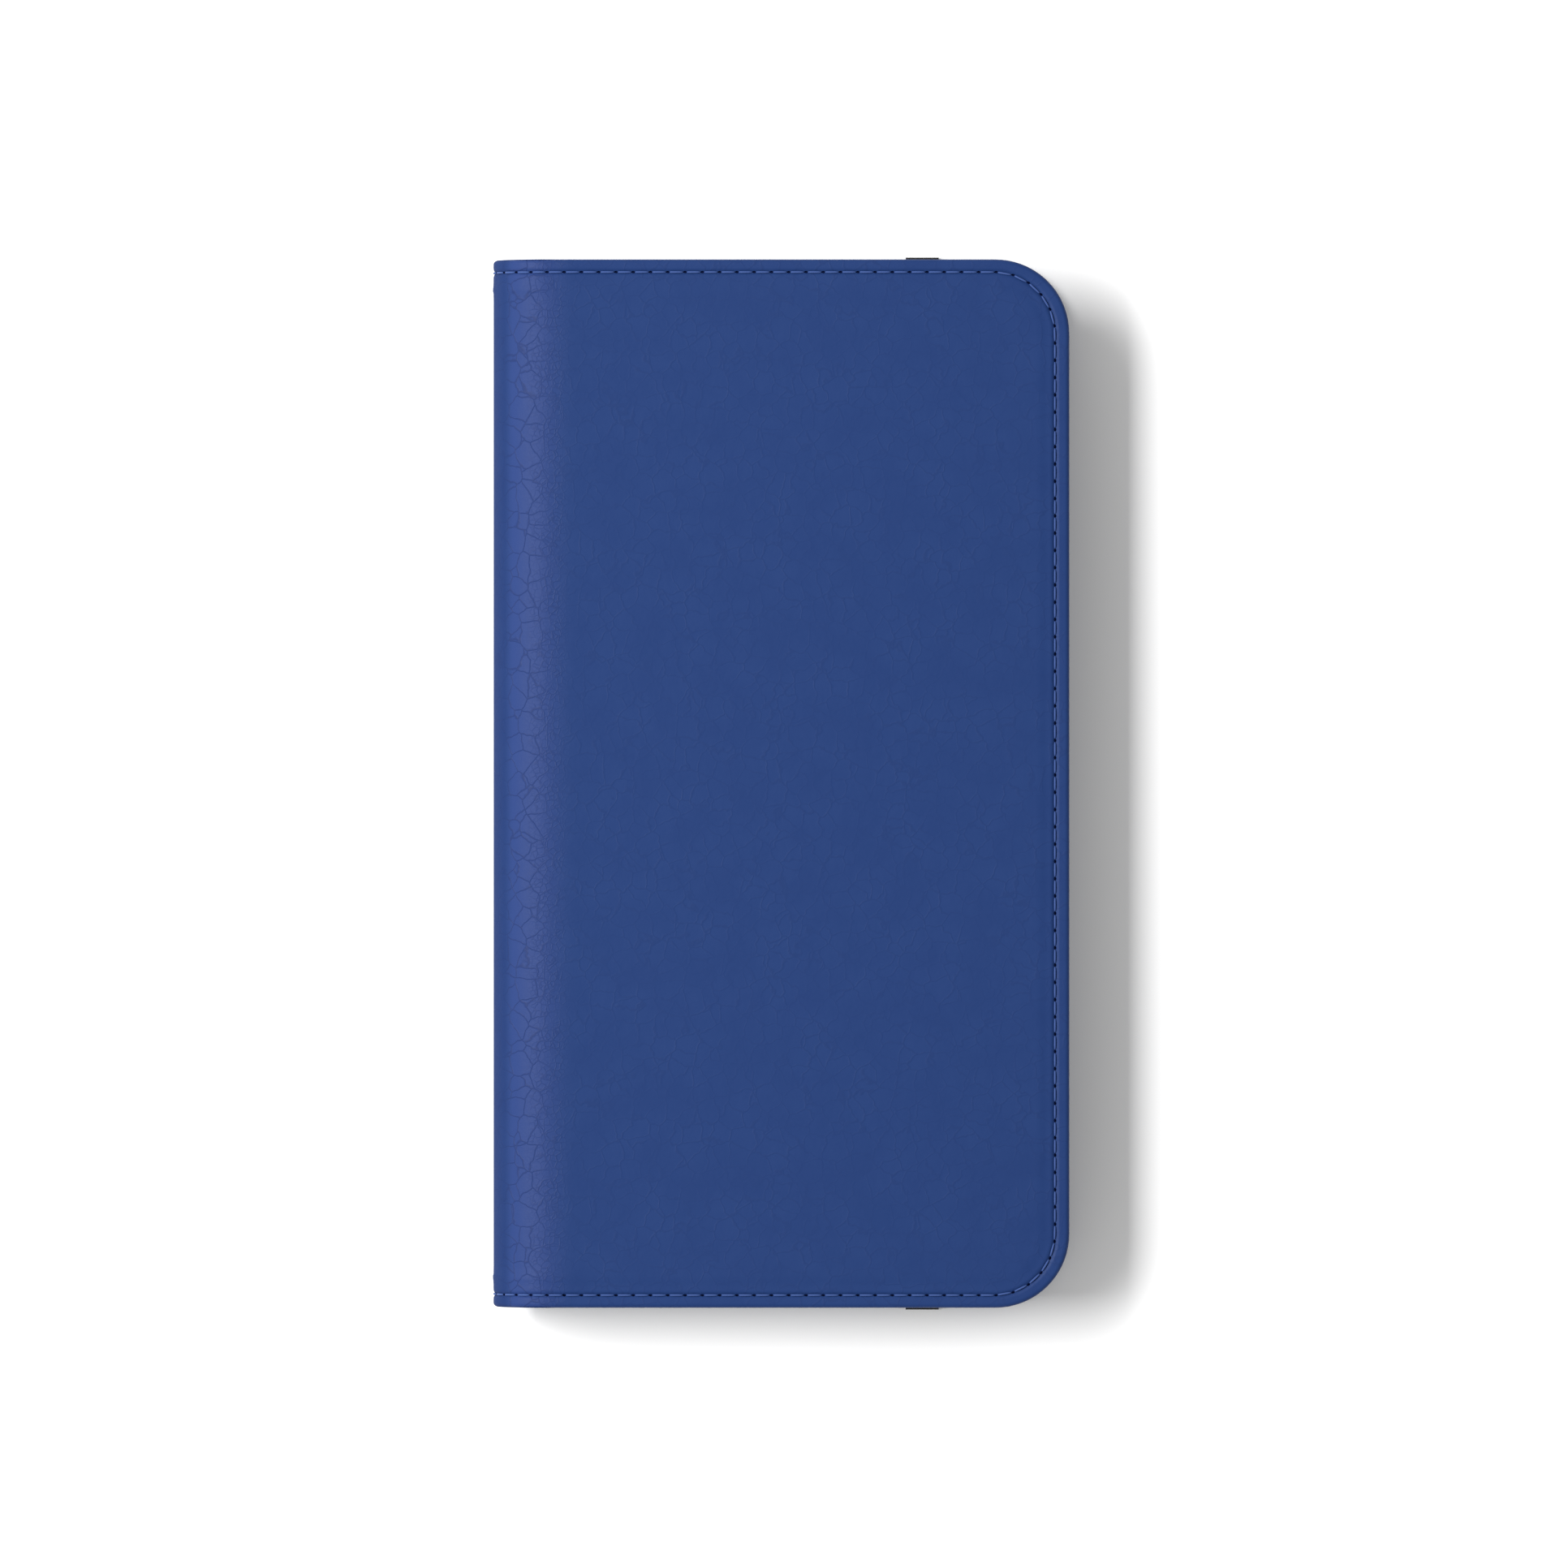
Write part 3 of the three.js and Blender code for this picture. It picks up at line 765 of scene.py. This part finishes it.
# -------- seams
def seam_trace(start):
    """A cover's seam line as points (u, y), from the spine round both corners and back to the spine."""
    corner_u, corner_y = COVER_REACH - CORNER_RADIUS, HALF_LENGTH - CORNER_RADIUS
    low = [(start, SEAM_FROM_END - HALF_LENGTH)]
    for angle in np.linspace(-PI / 2, 0, 25):
        out = math.cos(angle)
        radius = CORNER_RADIUS - SEAM_FROM_END - (SEAM_FROM_EDGE - SEAM_FROM_END) * float(smooth(out, 0, 1))
        low.append((corner_u + radius * out, -corner_y + radius * math.sin(angle)))
    return np.array(low + [(u, -y) for u, y in low[::-1]])


def paced(trace, pitch):
    """Points one stitch apart along trace, at the whole number of stitches that comes nearest to pitch."""
    steps = np.linalg.norm(np.diff(trace, axis=0), axis=1)
    along = np.concatenate([[0], np.cumsum(steps)])
    count = round(along[-1] / pitch)
    marks = np.linspace(0, along[-1], count + 1)
    return np.stack([np.interp(marks, along, trace[:, k]) for k in (0, 1)], axis=-1)


def seam_holes():
    """Every needle hole of the long seam in order, as rows (s, y): front cover, spine's ends, back cover."""
    spine_count = int((FIRST_HOLE + SPINE_ARC) / STITCH_PITCH)
    last = FIRST_HOLE - spine_count * STITCH_PITCH
    front = paced(seam_trace(FIRST_HOLE), STITCH_PITCH)
    back = paced(seam_trace(-SPINE_ARC - last), STITCH_PITCH)
    back[:, 0] = back_s(back[:, 0])
    end = HALF_LENGTH - SEAM_FROM_END
    row = np.linspace(FIRST_HOLE, last, spine_count + 1)
    ends = [np.stack([row, np.full(len(row), side * end)], axis=-1) for side in (-1, 1)]
    return [front, back, *ends]


def stitch(start, end, height, turn_over, thickness=1.0):
    """One thread length between two holes: (points as s, y, h, faces, u v). It thins and sinks towards both.
    turn_over is -1 on the inner face."""
    middle, along = (start + end) / 2, end - start
    length = np.linalg.norm(along)
    along = along / length
    across = np.array([-along[1], along[0]])
    share = STITCH_LENGTH / STITCH_PITCH
    stations = np.array([-1.0, -0.94, -0.8, -0.45, 0.0, 0.45, 0.8, 0.94, 1.0])
    width = np.array([0.25, 0.6, 0.9, 1.0, 1.04, 1.0, 0.9, 0.6, 0.25])
    sink = np.array([-0.2, -0.15, -0.06, 0.0, 0.02, 0.0, -0.06, -0.15, -0.2]) * MM
    turns = np.linspace(0, 2 * PI, 9)[:-1]
    points, flat = [], []
    for station, wide, low in zip(stations, width, sink):
        for turn in turns:
            spot = middle + along * station * length * share / 2
            spot = spot + across * math.cos(turn) * wide * THREAD_WIDTH / 2 * thickness
            lift = low + math.sin(turn) * wide * THREAD_HEIGHT / 2 * thickness
            points.append((spot[0], spot[1], height(spot[0], spot[1]) + turn_over * lift))
            flat.append((station * length / 2, turn / (2 * PI)))
    return points, tube_faces(len(stations), len(turns)), flat


def needle_hole(spot, along, rim_height):
    """A small dark oval pressed into the groove: painted shade where the needle hole is."""
    across = np.array([-along[1], along[0]])
    points = []
    turns = np.linspace(0, 2 * PI, 13)[:-1]
    rings = ((1.0, 0.0), (0.8, 0.016 * MM), (0.4, 0.02 * MM))
    for ring, raise_by in rings:
        for turn in turns:
            b = math.sin(turn) * ring * HOLE_HALF_WIDTH
            place = spot + along * math.cos(turn) * ring * HOLE_HALF_LENGTH + across * b
            groove = -GROOVE_DEPTH * math.exp(-((b / GROOVE_HALF_WIDTH) ** 2))
            points.append((place[0], place[1], rim_height(place[0], place[1]) + groove + raise_by))
    return points, tube_faces(len(rings), len(turns)), [(0.0, 0.0)] * len(points)


def thread_height(s, y):
    return relief(s, y) - THREAD_SUNK


def inner_face(s, y):
    """Height of the innermost layer that the seam goes through, where its inner stitches lie."""
    u = s if s > -SPINE_ARC / 2 else -SPINE_ARC - s
    height = -float(rim_thickness(u)) - LINING
    if s <= 0:
        return height
    x = SPINE_X + s
    if x > CASH_POCKET[0].x:
        height = CASH_POCKET[0].z - FRONT_Z
    if x > CARD_POCKETS[-1][0].x and abs(y) < CARD_POCKETS[-1][1].y:
        height = CARD_POCKETS[-1][0].z - FRONT_Z
    return height


def inner_thread_height(s, y):
    return inner_face(s, y) - INNER_THREAD_PROUD


def part_at(s):
    return list(PART_FOLD)[sum(1 for split in FOLD_SPLITS if s < split)]


def collected(pieces, name, material, slot):
    """One object of many small closed pieces, each (points as s, y, h, faces, u v)."""
    points, faces, flat = [], [], []
    for spots, quads, uv in pieces:
        first = len(points)
        points += spots
        faces += [tuple(first + v for v in quad) for quad in quads]
        flat += uv
    place = np.array(points)
    return dressed(new_mesh(name, wrap(place[:, 0], place[:, 1], place[:, 2]), faces, flat), material, slot)


def long_seam():
    """The seam round both covers and the spine's ends: outer stitches, inner stitches and needle holes."""
    groups = {part: {"stitches": [], "inner_stitches": [], "needle_holes": []} for part in PART_FOLD}
    for row in seam_holes():
        for start, end in zip(row, row[1:]):
            group = groups[part_at((start[0] + end[0]) / 2)]
            group["stitches"].append(stitch(start, end, thread_height, 1))
            group["inner_stitches"].append(stitch(start, end, inner_thread_height, -1, INNER_THREAD))
            along = (end - start) / np.linalg.norm(end - start)
            group["needle_holes"].append(needle_hole(start, along, relief))
    for part, group in groups.items():
        for kind, pieces in group.items():
            look = (HOLE, "blue_leather") if kind == "needle_holes" else (BLUE_THREAD, "seam_thread")
            made = collected(pieces, f"{part}_{kind}", *look)
            if kind == "stitches" and part in ("front", "back"):
                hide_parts(f"{part}_seam_thread")
            across_fold(made)


# -------- pockets inside the front cover
def mitred(outline):
    """Inward direction at each point of a closed outline that runs anticlockwise, grown at its corners."""
    side = np.roll(outline, -1, axis=0) - outline
    after = np.stack([-side[:, 1], side[:, 0]], axis=-1) / np.linalg.norm(side, axis=1)[:, None]
    before = np.roll(after, 1, axis=0)
    return (before + after) / (1 + (before * after).sum(axis=1))[:, None]


def arc_points(centre, radius, start, end, count=8):
    turns = np.linspace(start, end, count + 1)
    return [(centre[0] + radius * math.cos(t), centre[1] + radius * math.sin(t)) for t in turns]


def sewn_sheet(name, outline, low, high):
    """A thin flat sheet with soft edges and a line creased beside them, on its lower face."""
    outline = np.array(outline)
    inward = mitred(outline)
    half = (high - low) / 2
    rings = [(2.2 * MM, high), (half, high)]
    turns = np.linspace(0.3, PI - 0.3, 6)
    rings += [(half * (1 - math.sin(t)), low + half * (1 + math.cos(t))) for t in turns]
    rings += [(half, low), (0.9 * MM, low), (1.05 * MM, low + 0.05 * MM), (1.2 * MM, low), (2.2 * MM, low)]
    points = [(*(spot + way * inset), z) for inset, z in rings for spot, way in zip(outline, inward)]
    return new_mesh(name, points, tube_faces(len(rings), len(outline)))


def card_outline(low, high):
    radius = 3 * MM
    outline = [(high.x, low.y), (high.x, high.y)]
    outline += arc_points((low.x + radius, high.y - radius), radius, PI / 2, PI)
    return outline + arc_points((low.x + radius, low.y + radius), radius, PI, 1.5 * PI)


def cash_outline(low, high):
    """Square towards the spine, with the cover's own corners at the free edge."""
    radius = CORNER_RADIUS - 0.5 * MM
    right, top = high.x - radius, high.y - radius
    outline = [(low.x, high.y), (low.x, low.y)]
    outline += arc_points((right, -top), radius, -PI / 2, 0, 16)
    return outline + arc_points((right, top), radius, 0, PI / 2, 16)


def pocket_panels():
    pockets = [("cash_pocket", cash_outline, CASH_POCKET, "cash_pocket_panel")]
    for k, box in enumerate(CARD_POCKETS, start=1):
        pockets.append((f"card_slot_{k}", card_outline, box, f"card_slot_panel_{k}"))
    for name, outline, (low, high), node in pockets:
        sheet = sewn_sheet(name, outline(low, high), low.z, high.z)
        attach(dressed(sheet, POCKET, "pocket_leather", node), "front_cover")


def pocket_seams():
    """Stitches that close the card slots at both ends, each on the layer that shows there."""
    inset, past_opening, before_next, last_margin = 1.9 * MM, 1.2 * MM, 0.3 * MM, 3.5 * MM
    openings = [box[0].x for box in CARD_POCKETS] + [CARD_POCKETS[-1][1].x - last_margin]
    pieces = []
    for k, (low, high) in enumerate(CARD_POCKETS):
        for side in (-1, 1):
            y = side * (high.y - inset)
            ends = np.array([(openings[k] + past_opening, y), (openings[k + 1] - before_next, y)])
            ends[:, 0] -= SPINE_X
            row = paced(ends, STITCH_PITCH)
            level = low.z - FRONT_Z - POCKET_THREAD_PROUD
            pieces += [stitch(a, b, lambda s, y, h=level: h, -1, POCKET_THREAD) for a, b in zip(row, row[1:])]
    seam = collected(pieces, "card_slot_stitches", BLACK_THREAD, "pocket_leather")
    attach(seam, "front_cover")


# -------- phone shell
def rounded_loop(low, high, radius, step, arc_steps):
    """A closed rounded rectangle, anticlockwise: (x, y, outward x, outward y, distance from a corner)."""
    loop = []
    left, right, lower, upper = low[0] + radius, high[0] - radius, low[1] + radius, high[1] - radius
    for k, (x, y) in enumerate(((right, lower), (right, upper), (left, upper), (left, lower))):
        for turn in np.linspace((k - 1) * PI / 2, k * PI / 2, arc_steps + 1):
            out_x, out_y = math.cos(turn), math.sin(turn)
            loop.append((x + radius * out_x, y + radius * out_y, out_x, out_y, 0.0))
    full = []
    for a, b in zip(loop, loop[1:] + loop[:1]):
        full.append(a)
        gap = math.hypot(b[0] - a[0], b[1] - a[1])
        if a[2:4] == b[2:4] or gap > 2 * step:
            count = max(1, round(gap / step))
            for k in range(1, count):
                t = k / count
                x, y = (a[i] + (b[i] - a[i]) * t for i in (0, 1))
                full.append((x, y, a[2], a[3], gap * min(t, 1 - t)))
    return full


def shell_profile(lip):
    """(inset, z) from under the shell, round its wall and rim, to its floor. lip is 1 at a corner, else 0."""
    base, top = SHELL_BOX[0].z, SHELL_BOX[1].z
    fillet, inner_fillet, rim = 1.8 * MM, 1.0 * MM, SHELL_WALL / 2
    floor = base + SHELL_WALL
    curve = [(1 - math.sin(t), 1 - math.cos(t)) for t in np.linspace(0, PI / 2, 7)]
    rings = [(3 * MM, base)] + [(fillet * a, base + fillet * b) for a, b in curve]
    rings += [(0.0, base + 3.5 * MM), (0.0, top - rim - 0.4 * MM)]
    reach = LIP_REACH * lip
    for t in np.linspace(0, PI, 9):
        across = rim * (1 - math.cos(t)) + reach * (1 - math.cos(t)) / 2
        rings.append((across, top - rim + rim * math.sin(t) + 0.15 * MM * lip * (1 - math.cos(t)) / 2))
    rings += [(SHELL_WALL + reach * 0.4, top - rim - 0.25 * MM), (SHELL_WALL, top - rim - 0.6 * MM)]
    rings += [(SHELL_WALL, floor + inner_fillet + 1 * MM)]
    rings += [(SHELL_WALL + inner_fillet * b, floor + inner_fillet * a) for a, b in curve]
    return rings + [(3.4 * MM, floor)]


def prism(name, outline, axis, low, high):
    """A cutter: outline drawn across axis (0, 1 or 2) and run from low to high."""
    points = []
    for end in (low, high):
        for a, b in outline:
            spot = [a, b]
            spot.insert(axis, end)
            points.append(spot)
    return new_mesh(name, points, tube_faces(2, len(outline)))


def notch_outline(low, high):
    """A notch in the shell's wall, from its sill up past the rim, with round lower corners."""
    floor, top, radius = SHELL_BOX[0].z + SHELL_WALL + NOTCH_SILL, SHELL_BOX[1].z + CUT_MARGIN, NOTCH_CORNER
    outline = [(low, top)] + arc_points((low + radius, floor + radius), radius, PI, 1.5 * PI, 6)
    return outline + arc_points((high - radius, floor + radius), radius, 1.5 * PI, 2 * PI, 6) + [(high, top)]


def cut_away(obj, cutters):
    """Takes the cutters out of obj and softens the new edges. Large flat faces aren't shaded smooth."""
    for cutter in cutters:
        modifier = obj.modifiers.new("cut", "BOOLEAN")
        modifier.operation = "DIFFERENCE"
        modifier.solver = "EXACT"
        modifier.object = cutter
    edge = obj.modifiers.new("soft edges", "BEVEL")
    edge.width = NOTCH_ROUNDING
    edge.segments = 2
    edge.limit_method = "ANGLE"
    edge.angle_limit = math.radians(50)
    bpy.context.view_layer.update()
    mesh = bpy.data.meshes.new_from_object(obj.evaluated_get(bpy.context.evaluated_depsgraph_get()))
    obj.modifiers.clear()
    obj.data = mesh
    for face in mesh.polygons:
        face.use_smooth = face.area < FLAT_FACE_AREA
    for cutter in cutters:
        bpy.data.objects.remove(cutter)


def phone_shell():
    """The moulded tray: its wall's section swept round, then the notches and the camera window cut out."""
    low, high = SHELL_BOX
    loop = rounded_loop((low.x, low.y), (high.x, high.y), SHELL_CORNER, 3 * MM, 14)
    rings = []
    for x, y, out_x, out_y, past in loop:
        lip = 1 - float(smooth(past, LIP_START, LIP_END))
        rings.append([(x - out_x * inset, y - out_y * inset, z) for inset, z in shell_profile(lip)])
    points = [ring[k] for k in range(len(rings[0])) for ring in rings]
    shell = new_mesh("phone_tray", points, tube_faces(len(rings[0]), len(rings)))
    middle = (low.x + high.x) / 2
    window_low = (middle - WINDOW_HALF[0], WINDOW_CENTRE[1] - WINDOW_HALF[1])
    window_high = (middle + WINDOW_HALF[0], WINDOW_CENTRE[1] + WINDOW_HALF[1])
    whole_side = 2 * WINDOW_HALF[1]
    window = [place[:2] for place in rounded_loop(window_low, window_high, WINDOW_RADIUS, whole_side, 12)]
    sockets, microphone = (
        (middle - half, middle + half) for half in (SOCKET_NOTCH_HALF, MICROPHONE_NOTCH_HALF))
    cutters = []
    for name, span, axis, wall, outward in (
        ("cut_power", POWER_NOTCH, 0, high.x, 1),
        ("cut_volume", VOLUME_NOTCH, 0, low.x, -1),
        ("cut_sockets", sockets, 1, low.y, -1),
        ("cut_microphone", microphone, 1, high.y, 1),
    ):
        ends = sorted((wall - outward * NOTCH_REACH, wall + outward * CUT_MARGIN))
        cutters.append(prism(name, notch_outline(*span), axis, *ends))
    cutters.append(prism("cut_window", window, 2, low.z - CUT_MARGIN, low.z + SHELL_WALL + CUT_MARGIN))
    cut_away(shell, cutters)
    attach(dressed(shell, PLASTIC, "black_shell", "phone_shell"), "back_cover")


# -------- elastic closing band
def band_section(thickness):
    """The band's cross-section, (across, up): soft sides, and a low rib over each lengthwise cord."""
    half, side = (BAND_BOX[1].x - BAND_BOX[0].x) / 2, thickness / 2
    across = np.linspace(-half + side, half - side, 4 * CORD_COUNT + 1)
    rib = CORD_RIB * np.cos((across + half) / (2 * half) * 2 * PI * CORD_COUNT)
    upper = [(x, side + r) for x, r in zip(across, rib)]
    lower = [(x, -side - r) for x, r in zip(across[::-1], rib[::-1])]
    turns = np.linspace(PI / 2, -PI / 2, 7)[1:-1]
    right = [(half - side + side * math.cos(t), side * math.sin(t)) for t in turns]
    left = [(-x, -z) for x, z in right]
    return upper + right + lower + left


def ribbon(name, stations):
    """A band through stations (y, z, tilt, thickness): tilt turns the section about the x axis."""
    points = []
    for y, z, tilt, thickness in stations:
        section = band_section(thickness)
        points += [(BAND_MIDDLE + a, y - b * math.sin(tilt), z + b * math.cos(tilt)) for a, b in section]
    return new_mesh(name, points, tube_faces(len(stations), len(points) // len(stations)))


def elastic_strap():
    """The straight stretch behind the back cover, with round ends."""
    low, high = BAND_BOX
    thick = STRAP_SHARE * (high.z - low.z)
    middle = (low.z + high.z) / 2
    tip = high.y - STRAP_END_INSET
    turns = np.linspace(0.1, PI / 2, 7)
    ends = [(tip - thick / 2 * (1 - math.cos(t)), thick * max(0.12, math.sin(t))) for t in turns]
    stations = [(-y, middle, 0, t) for y, t in ends]
    stations += [(y, middle, 0, thick) for y in np.linspace(-ends[-1][0], ends[-1][0], 42)[1:-1]]
    stations += [(y, middle, 0, t) for y, t in ends[::-1]]
    strap = dressed(ribbon("elastic_strap", stations), ELASTIC, "black_elastic", "elastic_band")
    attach(strap, "elastic_band")


def elastic_end(name, side, node):
    """The sewn-in end: flat under the lining, round the cover's edge, then down into the strap's own end."""
    tab_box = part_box(node)
    tab_z = tab_box[1].z - TAB_DEPTH
    leg_y = HALF_LENGTH + LEG_STAND_OFF
    bend_y, bend_z = leg_y - LEG_BEND, tab_z - LEG_BEND
    inner = min(abs(tab_box[0].y), abs(tab_box[1].y))
    low = (BAND_BOX[0].z + BAND_BOX[1].z) / 2
    path = [(y, tab_z, 0.0, TAB_THICKNESS) for y in np.linspace(inner, bend_y, 6)]
    for t in np.linspace(0, PI / 2, 6)[1:]:
        path.append((bend_y + LEG_BEND * math.sin(t), bend_z + LEG_BEND * math.cos(t), -t, LEG_THICKNESS))
    path += [(leg_y, z, -PI / 2, LEG_THICKNESS) for z in np.linspace(bend_z, low, 26)[1:]]
    stations = [(side * y, z, side * tilt, thickness) for y, z, tilt, thickness in path]
    leg = dressed(ribbon(name, stations), ELASTIC, "black_elastic", node)
    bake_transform(leg)


# -------- hidden layers kept from the frame
def carried_over():
    board = board_material()
    materials = {"front_cover_board": board, "back_cover_board": board, "shell_adhesive_pad": pad_material()}
    for node, material in materials.items():
        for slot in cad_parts[node].material_slots:
            slot.material = material


leather_skins()
linings()
long_seam()
pocket_panels()
pocket_seams()
phone_shell()
elastic_strap()
elastic_end("elastic_top_end", 1, "elastic_end_top")
elastic_end("elastic_bottom_end", -1, "elastic_end_bottom")
carried_over()


# -------- floor, light and camera
def stage():
    bpy.ops.mesh.primitive_plane_add(size=FLOOR_SIZE)
    floor = bpy.context.object
    floor.name = "floor"
    material, _, shader = node_material("floor_paper")
    paper = {"Base Color": (0.9, 0.9, 0.9, 1), "Roughness": 0.9, "Specular IOR Level": 0.1}
    for socket, value in paper.items():
        shader.inputs[socket].default_value = value
    floor.data.materials.append(material)


def light():
    """One soft window-like lamp, high on the left and facing straight down, under a plain white sky."""
    world = bpy.data.worlds.new("studio")
    world.use_nodes = True
    sky = world.node_tree.nodes["Background"]
    sky.inputs["Color"].default_value = (1, 1, 1, 1)
    sky.inputs["Strength"].default_value = SKY_STRENGTH
    bpy.context.scene.world = world
    lamp = bpy.data.lights.new("key", "AREA")
    lamp.shape = "RECTANGLE"
    lamp.size, lamp.size_y = KEY_SIZE
    lamp.energy = KEY_POWER
    in_scene("key", lamp).location = KEY_PLACE


def camera():
    """Straight above the front cover, far enough off that its sides don't show."""
    data = bpy.data.cameras.new("camera")
    data.sensor_width = 36
    data.lens = data.sensor_width * CAMERA_DISTANCE / VIEW_WIDTH
    data.clip_end = 10
    cam = in_scene("camera", data)
    cam.location = (*VIEW_CENTRE, FRONT_Z + CAMERA_DISTANCE)
    bpy.context.scene.camera = cam
    bpy.context.scene.view_settings.view_transform = "Standard"


stage()
light()
camera()
